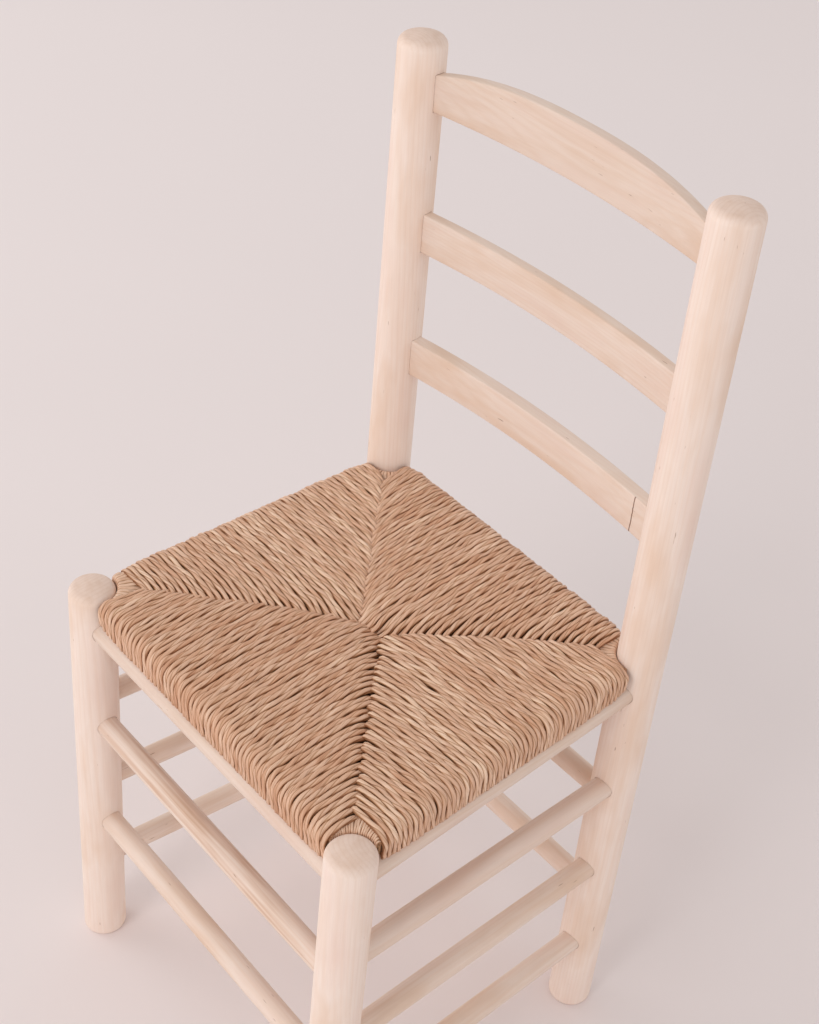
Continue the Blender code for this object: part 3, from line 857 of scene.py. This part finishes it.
TWIST_LENGTHS = (0.046, 0.068)
TWIST_WAVES, TWIST_SWING, TWIST_RATE = 60, 0.25, 0.35
CREASE_SPREAD, CREASE_POWER, CREASE_DEPTH = 0.18, 3.0, 0.25
LEAF_WIDTHS, WIDTH_STEPS = (0.88, 1.07), 5
LEAF_TONES, TONE_STEPS = (-0.23, 0.23), 3
TONE_SPREAD = 0.09
STRAND_WIDTH, WIDTH_SPREAD = 0.62, 0.05
THICK_TOP, THICK_UNDER = 1.04, 1.08
# how much and over what length a blunt and a pointed end narrow
BLUNT_TAPER, POINT_TAPER = (0.16, 0.005), (0.38, 0.0075)
FIBRE_RADIUS = 0.0024


def wall_of(quadrant):
    """A quadrant's outer wall: its start, the directions along it and inwards, its length."""
    start, end = SEAT_CORNERS[quadrant.start], SEAT_CORNERS[quadrant.end]
    length = (end - start).length
    along = np.array((end - start) / length)
    return start, along, np.array((-along[1], along[0])), length


def inner_end(quadrant, place):
    """How a strand meets the diagonals: its tips, its end's depth, its draw and its lean."""
    start, along, inwards, length = wall_of(quadrant)
    along, inwards = Vector(along), Vector(inwards)
    ridge = sorted(((p - start).dot(along), (p - start).dot(inwards)) for p in quadrant.ridge)
    (first, first_apex), (last, last_apex) = free_ends(quadrant)
    deep_first, deep_last = apex_depths(quadrant)
    bounds = [(0.0, 0.0), (first_apex, deep_first), *ridge]
    bounds += [(length - last_apex, deep_last), (length, 0.0)]
    draw = (first_apex - first) * math.exp(-(place - first) / DRAW_LENGTH)
    draw -= (last_apex - last) * math.exp(-(length - last - place) / DRAW_LENGTH)
    middle = (ridge[0][0] + ridge[-1][0]) / 2
    tips = quadrant.tips[0 if place + draw < middle else 1]
    blend = np.clip(0.5 + (place + draw - middle) / LEAN_BLEND, 0, 1)
    lean = quadrant.tips[0].lean * (1 - blend) + quadrant.tips[1].lean * blend
    inner_place = np.clip(place + draw + lean, 0, length)
    depth = float(np.interp(inner_place, *zip(*bounds)))
    end_depth = depth + EDGE_OUT + tips.overrun + rng.normal(0, END_NOISE)
    return tips, end_depth, draw, lean


Course = namedtuple("Course", "centre normal across places on_top narrow tips")


def strand_course(quadrant, place, phase):
    """A strand's way: (depth, height) of its middle, its place along the edge, and its ends."""
    tips, end_depth, draw, lean = inner_end(quadrant, place)
    dive = tips.dive * rng.uniform(*DIVE_SPREAD)
    line, places = resampled(strand_line(end_depth, dive, tips.dive_length, tips.blunt))
    steps = len(line)
    depth, height = line.T
    normal = normals_of(line)
    on_top = np.clip((height - ON_TOP[0]) / ON_TOP[1], 0, 1)
    on_top = on_top * (places < places[steps // 2 + steps // 4])
    fan = np.clip((depth - EDGE_OUT) / (max(end_depth, FAN_DEPTH) - EDGE_OUT), 0, 1)
    wobble = WOBBLE * waves(phase, place, places)
    wobble += smooth_steps(rng.normal(0, OWN_WOBBLE, steps), WOBBLE_STEPS)
    from_end = np.clip(places / END_WOBBLE_LENGTH, 0, 1)
    wobble *= END_WOBBLE + (1 - END_WOBBLE) * from_end
    bend = lean * np.exp(-np.clip(end_depth - depth, 0, 1) / tips.lean_length) * on_top
    lift = LIFT * waves(phase[::-1], place, places)
    lift += smooth_steps(rng.normal(0, OWN_LIFT, steps), LIFT_STEPS)
    centre = line + normal * (lift * on_top - PRESS)[:, None]
    length = wall_of(quadrant)[3]
    (first, _), (last, _) = free_ends(quadrant)
    near_corner = math.exp(-min(place - first, length - last - place) / CORNER_LENGTH)
    above = np.clip((height - ABOVE_FOOT[0]) / ABOVE_FOOT[1], 0, 1)
    centre[:, 1] -= CORNER_SINK * near_corner * above * (1 - 0.5 * fan)
    centre[:, 1] += CORNER_RISE * near_corner * (1 - above)
    outer = np.clip((DRIFT_DEPTH - depth) / DRIFT_DEPTH, 0, 1)
    outer = outer * np.clip((SEAT_TOP - height) / DRIFT_HEIGHT, 0, 1)
    across = place + draw * fan + wobble + bend + quadrant.drift * outer
    narrow = 1 - abs(draw) / DRAW_LENGTH * fan
    return Course(centre, normal, across, places, on_top, narrow, tips)


def strand_rings(quadrant, place, pitch, phase, strand_id):
    """One strand's rings of points, and their fibre coordinates, tones, rises and creases."""
    course = strand_course(quadrant, place, phase)
    places = course.places
    steps = len(places)
    twist = 2 * math.pi / rng.uniform(*TWIST_LENGTHS)
    angle0 = rng.uniform(0, 2 * math.pi)
    creases = np.arange(LEAVES) + rng.uniform(-CREASE_SPREAD, CREASE_SPREAD, LEAVES)
    creases = creases * 2 * math.pi / LEAVES
    widths = np.diff(np.r_[creases, creases[0] + 2 * math.pi])
    slots = np.arange(LEAF_POINTS) / LEAF_POINTS
    theta = (creases[:, None] + widths[:, None] * slots[None, :]).ravel()
    dip = np.tile(np.abs(2 * slots - 1) ** CREASE_POWER, LEAVES)
    sizes = [wandering(steps, *LEAF_WIDTHS, WIDTH_STEPS) for _ in range(LEAVES)]
    tones = [wandering(steps, *LEAF_TONES, TONE_STEPS) for _ in range(LEAVES)]
    leaf = np.repeat(np.arange(LEAVES), LEAF_POINTS)
    radius = np.column_stack(sizes)[:, leaf] * (1 - CREASE_DEPTH * dip[None, :])
    swing = np.sin(places * TWIST_WAVES + angle0)
    turned_by = angle0 + twist * places * (1 + TWIST_RATE * swing).mean() + TWIST_SWING * swing
    angle = theta[None, :] + turned_by[:, None]

    flat = np.where(course.on_top > 0.5, HALF_THICK, UNDER_THICK * THICK_UNDER)
    flat = smooth_steps(flat, 5) * THICK_TOP
    wide = STRAND_WIDTH * pitch * (1 + smooth_steps(rng.normal(0, WIDTH_SPREAD, steps), 7))
    taper_share, taper_length = BLUNT_TAPER if course.tips.blunt else POINT_TAPER
    taper = 1 - taper_share * np.exp(-places / taper_length)
    side = radius * np.cos(angle) * (wide * taper * course.narrow)[:, None]
    up = radius * np.sin(angle) * (flat * taper)[:, None]
    depth_at = course.centre[:, :1] + course.normal[:, :1] * up
    height_at = course.centre[:, 1:] + course.normal[:, 1:] * up
    across_at = course.across[:, None] - side
    start, along, inwards, _ = wall_of(quadrant)
    origin = np.array(start) - inwards * EDGE_OUT
    plan = origin + across_at.reshape(-1, 1) * along + depth_at.reshape(-1, 1) * inwards
    points = seat_point(plan, height_at.ravel())

    # the fibre coordinates go round and along the strand, and lie apart from other strands'
    fibre_x = (FIBRE_RADIUS * np.cos(theta)[None, :] * radius).ravel() + strand_id * 0.013
    fibre_y = (FIBRE_RADIUS * np.sin(theta)[None, :] * radius).ravel()
    fibre = np.column_stack([fibre_x, fibre_y, np.repeat(places, AROUND) + strand_id * 0.71])
    # quadrant.tone is painted light over the whole quadrant; the rest of the tone differs at random
    # from strand to strand and from leaf to leaf
    tone = 0.5 + quadrant.tone + rng.normal(0, TONE_SPREAD) + np.column_stack(tones)[:, leaf]
    rise = np.clip(np.sin(angle), 0, 1)
    return points, fibre, np.clip(tone, 0, 1).ravel(), rise.ravel(), np.tile(dip, steps)


def ring_faces(first, steps, around):
    """Faces of a tube of rings, closed at both ends."""
    j = np.arange(around)
    k = (j + 1) % around
    faces = []
    for i in range(steps - 1):
        low = first + i * around
        high = low + around
        faces += list(zip(low + j, high + j, high + k, low + k))
    faces.append(tuple(first + j))
    faces.append(tuple(first + (steps - 1) * around + j[::-1]))
    return faces


def joined(name, tubes, around, material):
    """One object from many tubes, with their fibre, tone, rise and crease attributes."""
    faces = []
    first = 0
    for tube in tubes:
        faces += ring_faces(first, len(tube[0]) // around, around)
        first += len(tube[0])
    points, fibres, *numbers = (np.concatenate(parts) for parts in zip(*tubes))
    mesh = bpy.data.meshes.new(name)
    mesh.from_pydata(points.tolist(), [], [tuple(int(v) for v in face) for face in faces])
    mesh.shade_smooth()
    fibre = mesh.attributes.new("fibre", "FLOAT_VECTOR", "POINT")
    fibre.data.foreach_set("vector", fibres.astype(np.float32).ravel())
    for key, values in zip(("tone", "rise", "crease"), numbers):
        attribute = mesh.attributes.new(key, "FLOAT", "POINT")
        attribute.data.foreach_set("value", values.astype(np.float32))
    return add_object(name, mesh, material)


# the rush's painted shade in its gaps, its roughness and the scale of its fibres
RUSH_PAINTED_GAP_SHADE, RUSH_ROUGHNESS, RUSH_FIBRES = 0.40, 0.50, (1600.0, 1600.0, 42.0)
PLACE_NOISE = 0.00022


def add_rush():
    """The four quadrants, each of its own count of strands side by side."""
    material = straw("rush", RUSH_STOPS, RUSH_PAINTED_GAP_SHADE, RUSH_ROUGHNESS, RUSH_FIBRES)
    strand_id = 0
    for edge, quadrant in QUADRANTS.items():
        length = wall_of(quadrant)[3]
        (first, _), (last, _) = free_ends(quadrant)
        pitch = (length - first - last) / quadrant.count
        phase = rng.uniform(0, 2 * math.pi, 6)
        tubes = []
        for i in range(quadrant.count):
            place = first + (i + 0.5) * pitch + rng.normal(0, PLACE_NOISE)
            tubes.append(strand_rings(quadrant, place, pitch, phase, strand_id))
            strand_id += 1
        obj = joined(f"woven_rush_{edge}", tubes, AROUND, material)
        finish_piece(obj, "rush", f"rush_{edge}")


# ---------------------------------------------------------------- corner cords

# widths of a cord at the middle of its corner, and that middle's distance from the post's axis
CORD_PITCH = dict(front_right=0.0019, front_left=0.0029, back_right=0.0028, back_left=0.0028)
CORD_MIDDLE = 0.0245
# how far the cords spread past the corner's two walls
CORD_SPREAD = math.radians(8.0)
# the cords' painted shade on their sides and undersides, their roughness and the scale of their
# fibres
CORD_PAINTED_GAP_SHADE, CORD_ROUGHNESS, CORD_FIBRES = 0.60, 0.50, (3200.0, 3200.0, 80.0)
CORD_AROUND = 10
CORD_STEP = 0.0011
CORD_HALF_HEIGHT = 0.0011
CORD_HALF_WIDTH, CORD_HALF_WIDTHS = 0.60, (0.0007, 0.0024)
CORD_WIDTH_SPREAD, CORD_TURN_SPREAD = 0.04, 0.02
CORD_TONE, CORD_TONE_SPREAD = 0.60, 0.09
CORD_GAP = 0.0008
CORD_ABOVE_FRAME = 0.0015
CORD_FALL = 0.020
POST_WALL_IN = 0.002
FARTHEST = 0.05


def corner_reach(corner, angle):
    """How far the corner's open plan reaches from the post's axis in a direction."""
    direction = np.array((math.cos(angle), math.sin(angle)))
    wall = EDGE_OUT - POST_WALL_IN
    outline = [(corner.across, -wall), (corner.apex_across, corner.apex_side), (-wall, corner.side)]
    reach = FARTHEST
    for (x0, y0), (x1, y1) in zip(outline, outline[1:]):
        side = np.array((x1 - x0, y1 - y0))
        det = direction[0] * -side[1] + direction[1] * side[0]
        t = (x0 * -side[1] + y0 * side[0]) / det
        u = (direction[0] * y0 - direction[1] * x0) / det
        if t > 0 and -0.001 <= u <= 1.001:
            reach = min(reach, t)
    return reach


def cord_line(corner, angle, pitch):
    """The (distance from the post's axis, height) line of a cord, over the frame and down."""
    near = POST_RADIUS + CORD_GAP + pitch / 2
    reach = corner_reach(FREE_CORNERS[corner], angle)
    outside = max(-angle, angle - math.pi / 2, 0.0)
    top = FRAME_TOP + CORD_ABOVE_FRAME - CORD_FALL * outside
    far = max(reach - 0.0012, near + 0.001) if outside > 0.0 else reach + 0.003
    line = [(near, FRAME_BOTTOM + 0.002), (near, top - 0.004), (near + 0.0004, top - 0.0012)]
    line += [(near + 0.0016, top), (far - 0.0016, top + 0.0003), (far - 0.0003, top - 0.0012)]
    return np.array(line + [(far, top - 0.004), (far, FRAME_BOTTOM - 0.001)])


def cord_rings(corner, angle, pitch, number):
    """One cord's rings of points, with the same attributes as a strand's."""
    line = cord_line(corner, angle, pitch)
    places = np.arange(0, lengths_along(line)[-1], CORD_STEP)
    line = smooth_steps(at_places(line, places), 3)
    steps = len(line)
    normal = -normals_of(line)
    theta = np.arange(CORD_AROUND) * 2 * math.pi / CORD_AROUND
    half = np.clip(CORD_HALF_WIDTH * pitch * line[:, 0] / CORD_MIDDLE, *CORD_HALF_WIDTHS)
    half = half * (1 + rng.normal(0, CORD_WIDTH_SPREAD))
    up = np.sin(theta)[None, :] * CORD_HALF_HEIGHT * np.ones((steps, 1))
    side = np.cos(theta)[None, :] * half[:, None]
    out_at = line[:, :1] + normal[:, :1] * up
    height_at = line[:, 1:] + normal[:, 1:] * up
    turn = angle + smooth_steps(rng.normal(0, CORD_TURN_SPREAD, steps), 7)
    direction = np.column_stack([np.cos(turn), np.sin(turn)])
    across = np.column_stack([-np.sin(turn), np.cos(turn)])
    plan = out_at[:, :, None] * direction[:, None, :] + side[:, :, None] * across[:, None, :]
    centre = np.array(SEAT_CORNERS[corner])
    plan = plan.reshape(-1, 2) * -np.sign(centre) + centre
    fibre_x = np.tile(np.cos(theta) * 0.001, steps) + number * 0.017
    fibre_y = np.tile(np.sin(theta) * 0.001, steps)
    fibre = np.column_stack([fibre_x, fibre_y, np.repeat(places, CORD_AROUND) + number * 0.31])
    tone = np.clip(rng.normal(CORD_TONE, CORD_TONE_SPREAD), 0, 1)
    count = steps * CORD_AROUND
    # rise is lowest on the cord's underside, where the straw material paints shade
    rise = np.tile(np.sin(theta), steps)
    return seat_point(plan, height_at.ravel()), fibre, np.full(count, tone), rise, np.zeros(count)


def add_corner_cords():
    """Cords side by side round each post, over the frame's corner and down."""
    material = straw("corner_cord", CORD_STOPS, CORD_PAINTED_GAP_SHADE, CORD_ROUGHNESS, CORD_FIBRES)
    turn = math.pi / 2 + 2 * CORD_SPREAD
    for corner in SEAT_CORNERS:
        pitch = CORD_PITCH[corner]
        count = int(turn * CORD_MIDDLE / pitch)
        angles = [-CORD_SPREAD + (i + 0.5) * turn / count for i in range(count)]
        tubes = [cord_rings(corner, angle, pitch, i) for i, angle in enumerate(angles)]
        obj = joined(f"wound_cord_{corner}", tubes, CORD_AROUND, material)
        finish_piece(obj, "corner_cord", f"corner_cord_{corner}")


# ---------------------------------------------------------------- stuffing and frame


STUFFING_STOPS = stops((0.3, 98, 60, 38), (0.55, 140, 94, 64), (0.75, 170, 122, 88))
STUFFING_DARK = srgb(90, 54, 36)
FRAME_STOPS = stops((0.3, 176, 132, 92), (0.7, 214, 176, 136))


def stuffing_material():
    g = new_material("stuffing")
    place = g.here()
    stalks = g.noise(g.scaled(place, (900.0, 120.0, 900.0)), detail=3.0)
    clumps = g.noise(place, scale=60.0)
    base = g.ramp(stalks, STUFFING_STOPS)
    base = g.mix(g.span(clumps, (0.35, 0.7), (0.0, 0.5)), base, STUFFING_DARK)
    roughness = g.span(stalks, (0.2, 0.8), (0.8, 0.95))
    return g.surface(base, roughness, g.bump(stalks, 0.6, 0.0008))


def edge_depths(plan):
    """Depth from each of the seat's four walls."""
    out = []
    for quadrant in QUADRANTS.values():
        a, b = SEAT_CORNERS[quadrant.start], SEAT_CORNERS[quadrant.end]
        along = np.array((b - a).normalized())
        inwards = np.array((-along[1], along[0]))
        out.append((plan - np.array(a)) @ inwards + EDGE_OUT)
    return np.sort(np.array(out), axis=0)


# the pad: points along each side, its distance inside the seat's outer wall, the rush's thickness
# above and below it, the hollow where the strands meet and over what depth, and its own lumps
PAD_SIZE = 90
PAD_INSIDE = 0.0445
PAD_BELOW_TOP = 0.0062
PAD_ABOVE_BOTTOM = 0.0056
PAD_HOLLOW, PAD_HOLLOW_DEPTH, PAD_HOLLOW_POWER = 0.0055, 0.016, 1.5
PAD_LUMPS = 0.0012


def pad_faces(size):
    """Faces of an upper and a lower grid of points, joined round their rim."""
    faces = []
    count = size * size
    for i in range(size - 1):
        for j in range(size - 1):
            a = i * size + j
            quad = (a, a + 1, a + 1 + size, a + size)
            faces.append(quad)
            faces.append(tuple(count + w for w in reversed(quad)))
    rim = list(range(size)) + [i * size + size - 1 for i in range(1, size)]
    rim += [size * (size - 1) + j for j in range(size - 2, -1, -1)]
    rim += [i * size for i in range(size - 2, 0, -1)]
    for a, b in zip(rim, rim[1:] + rim[:1]):
        faces.append((b, a, count + a, count + b))
    return faces


def add_stuffing():
    """One pad of straw between the two layers of rush, hollowed where the strands meet."""
    grid = np.linspace(0, 1, PAD_SIZE)
    u, v = np.meshgrid(grid, grid, indexing="xy")
    inset = PAD_INSIDE - EDGE_OUT
    xs = (2 * u - 1) * ((SEAT_FRONT_X - inset) + (SEAT_BACK_X - SEAT_FRONT_X) * v)
    ys = SEAT_FRONT_Y + inset + v * (SEAT_BACK_Y - SEAT_FRONT_Y - 2 * inset)
    plan = np.column_stack([xs.ravel(), ys.ravel()])
    depths = edge_depths(plan)
    meet = np.clip((depths[1] - depths[0]) / PAD_HOLLOW_DEPTH, 0, 1)
    top = top_height(depths[0]) - PAD_BELOW_TOP - PAD_HOLLOW * (1 - meet) ** PAD_HOLLOW_POWER
    top += smooth_steps(rng.normal(0, PAD_LUMPS, (PAD_SIZE, PAD_SIZE)), 3).ravel()
    upper = seat_point(plan, top)
    lower = seat_point(plan, np.full(len(plan), SEAT_BOTTOM + PAD_ABOVE_BOTTOM))
    mesh = mesh_from("stuffing_pad", np.vstack([upper, lower]), pad_faces(PAD_SIZE))
    obj = add_object("stuffing_pad", mesh, stuffing_material())
    finish_piece(obj, "stuffing", *(f"rush_stuffing_{edge}" for edge in QUADRANTS))


def dress_frame():
    """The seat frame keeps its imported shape, with grain along each of its rails."""
    for i, edge in enumerate(QUADRANTS):
        node = NODES[f"seat_frame_{edge}"]
        material = frame_wood(f"frame_wood_{edge}", edge in ("front", "back"), FRAME_SEED + i)
        node.data.materials.clear()
        node.data.materials.append(material)


def frame_wood(name, crosswise, seed):
    """Plain darker wood, its grain along X in a crosswise rail and along Y in the others."""
    g = new_material(name)
    start = g.here()
    place = g.vector("ADD", start, (seed * 0.37, seed * 0.11, 0.0))
    scale = (14.0, 420.0, 420.0) if crosswise else (420.0, 14.0, 420.0)
    grain = g.noise(g.scaled(place, scale), detail=4.0, roughness=0.6)
    base = g.ramp(grain, FRAME_STOPS)
    roughness = g.span(grain, (0.2, 0.8), (0.68, 0.84))
    return g.surface(base, roughness, g.bump(grain, 0.3, 0.0003))


# ---------------------------------------------------------------- room, light and camera


FLOOR_HALF = 30
FLOOR_NEAR = stops((0.3, 236, 226, 225), (0.7, 240, 230, 229))
FLOOR_FAR = srgb(248, 238, 237)
FLOOR_GLOSS = 0.2
# painted light: the floor is painted lighter further away to the back left, where more light falls
# on it: the direction, and where that starts and ends
FAR_DIRECTION = (-0.7, 0.7, 0.0)
FAR_DISTANCES = (-0.3, 2.2)


def add_floor():
    corners = [(x * FLOOR_HALF, y * FLOOR_HALF, 0) for x, y in ((-1, -1), (1, -1), (1, 1), (-1, 1))]
    mesh = mesh_from("floor", corners, [(0, 1, 2, 3)], False)
    g = new_material("floor")
    place = g.here()
    cloud = g.noise(place, scale=1.3)
    fine = g.noise(place, scale=240.0)
    near = g.ramp(cloud, FLOOR_NEAR)
    # painted light: the floor lighter towards the back left
    far = g.span(g.vector("DOT_PRODUCT", place, FAR_DIRECTION), FAR_DISTANCES, (0.0, 1.0))
    roughness = g.span(fine, (0.3, 0.7), (0.78, 0.86))
    material = g.surface(g.mix(far, near, FLOOR_FAR), roughness, gloss=FLOOR_GLOSS)
    add_object("floor", mesh, material)


# the lights: place, size and power; all are soft discs that face one point
LIGHTS = {
    "window": ((0.4, -3.2, 2.6), 1.8, 35.0),
    "second_window": ((-3.2, -1.6, 2.4), 2.6, 26.0),
}
LIGHT_TARGET = (0, 0, 0.4)
LIGHT_COLOUR = (1.0, 0.985, 0.975)


def add_light(name, location, size, power):
    light = bpy.data.lights.new(name, "AREA")
    light.shape = "DISK"
    light.size = size
    light.energy = power
    light.color = LIGHT_COLOUR
    direction = Vector(LIGHT_TARGET) - Vector(location)
    rotation = direction.to_track_quat("-Z", "Y").to_matrix().to_4x4()
    place_object(name, light, Matrix.Translation(location) @ rotation)


# the room's light: its colour, and its strength level with the floor and overhead
ROOM_COLOUR = (1.0, 0.975, 0.965, 1.0)
WALL_LEVEL = 1.14
CEILING_LEVEL = 0.44
# the plain backdrop that shows beyond the floor, at its foot and overhead
BACKDROP_LOW = (0.65, 0.583, 0.572, 1.0)
BACKDROP_HIGH = (0.85, 0.785, 0.77, 1.0)


def add_world():
    """Soft light from all round, and the backdrop in its place where the camera sees it."""
    g = Graph(bpy.data.worlds.new("room"))
    bpy.context.scene.world = g.owner
    above = g.node("SeparateXYZ", Vector=g.node("TexCoord").outputs["Generated"]).outputs["Z"]
    level = g.span(above, (0.0, 1.0), (WALL_LEVEL, CEILING_LEVEL))
    light = g.node("Background", Color=ROOM_COLOUR, Strength=level)
    shade = g.ramp(above, [(0.0, BACKDROP_LOW), (1.0, BACKDROP_HIGH)])
    backdrop = g.node("Background", Color=shade)
    seen = g.node("MixShader")
    camera_ray = g.node("LightPath").outputs["Is Camera Ray"]
    for socket, value in zip(seen.inputs, (camera_ray, light.outputs[0], backdrop.outputs[0])):
        g.put(socket, value)
    g.put(g.tree.nodes["World Output"].inputs["Surface"], seen.outputs[0])


def add_room():
    add_floor()
    add_world()
    for name, (location, size, power) in LIGHTS.items():
        add_light(name, location, size, power)
    view = bpy.context.scene.view_settings
    view.view_transform = "Standard"
    view.look = "None"


CAMERA_PLACE = (0.77886, -0.67652, 1.39041)
CAMERA_YAW = math.radians(47.4565)
CAMERA_PITCH = math.radians(-38.3298)
CAMERA_ROLL = math.radians(4.7942)
CAMERA_LENS = 58.42
CAMERA_SENSOR = 36.0


def add_camera():
    right = Vector((math.cos(CAMERA_YAW), math.sin(CAMERA_YAW), 0.0))
    ahead = Vector((-math.sin(CAMERA_YAW), math.cos(CAMERA_YAW), 0.0))
    forward = math.cos(CAMERA_PITCH) * ahead + Vector((0.0, 0.0, math.sin(CAMERA_PITCH)))
    up = right.cross(forward)
    x_axis = math.cos(CAMERA_ROLL) * right + math.sin(CAMERA_ROLL) * up
    y_axis = -math.sin(CAMERA_ROLL) * right + math.cos(CAMERA_ROLL) * up
    camera = bpy.data.cameras.new("camera")
    camera.lens = CAMERA_LENS
    camera.sensor_width = CAMERA_SENSOR
    turn = Matrix((x_axis, y_axis, -forward)).transposed().to_4x4()
    place = Matrix.Translation(CAMERA_PLACE) @ turn
    bpy.context.scene.camera = place_object("camera", camera, place)


# ---------------------------------------------------------------- the scene

add_camera()
add_room()
add_wood()
add_rush()
add_corner_cords()
add_stuffing()
dress_frame()
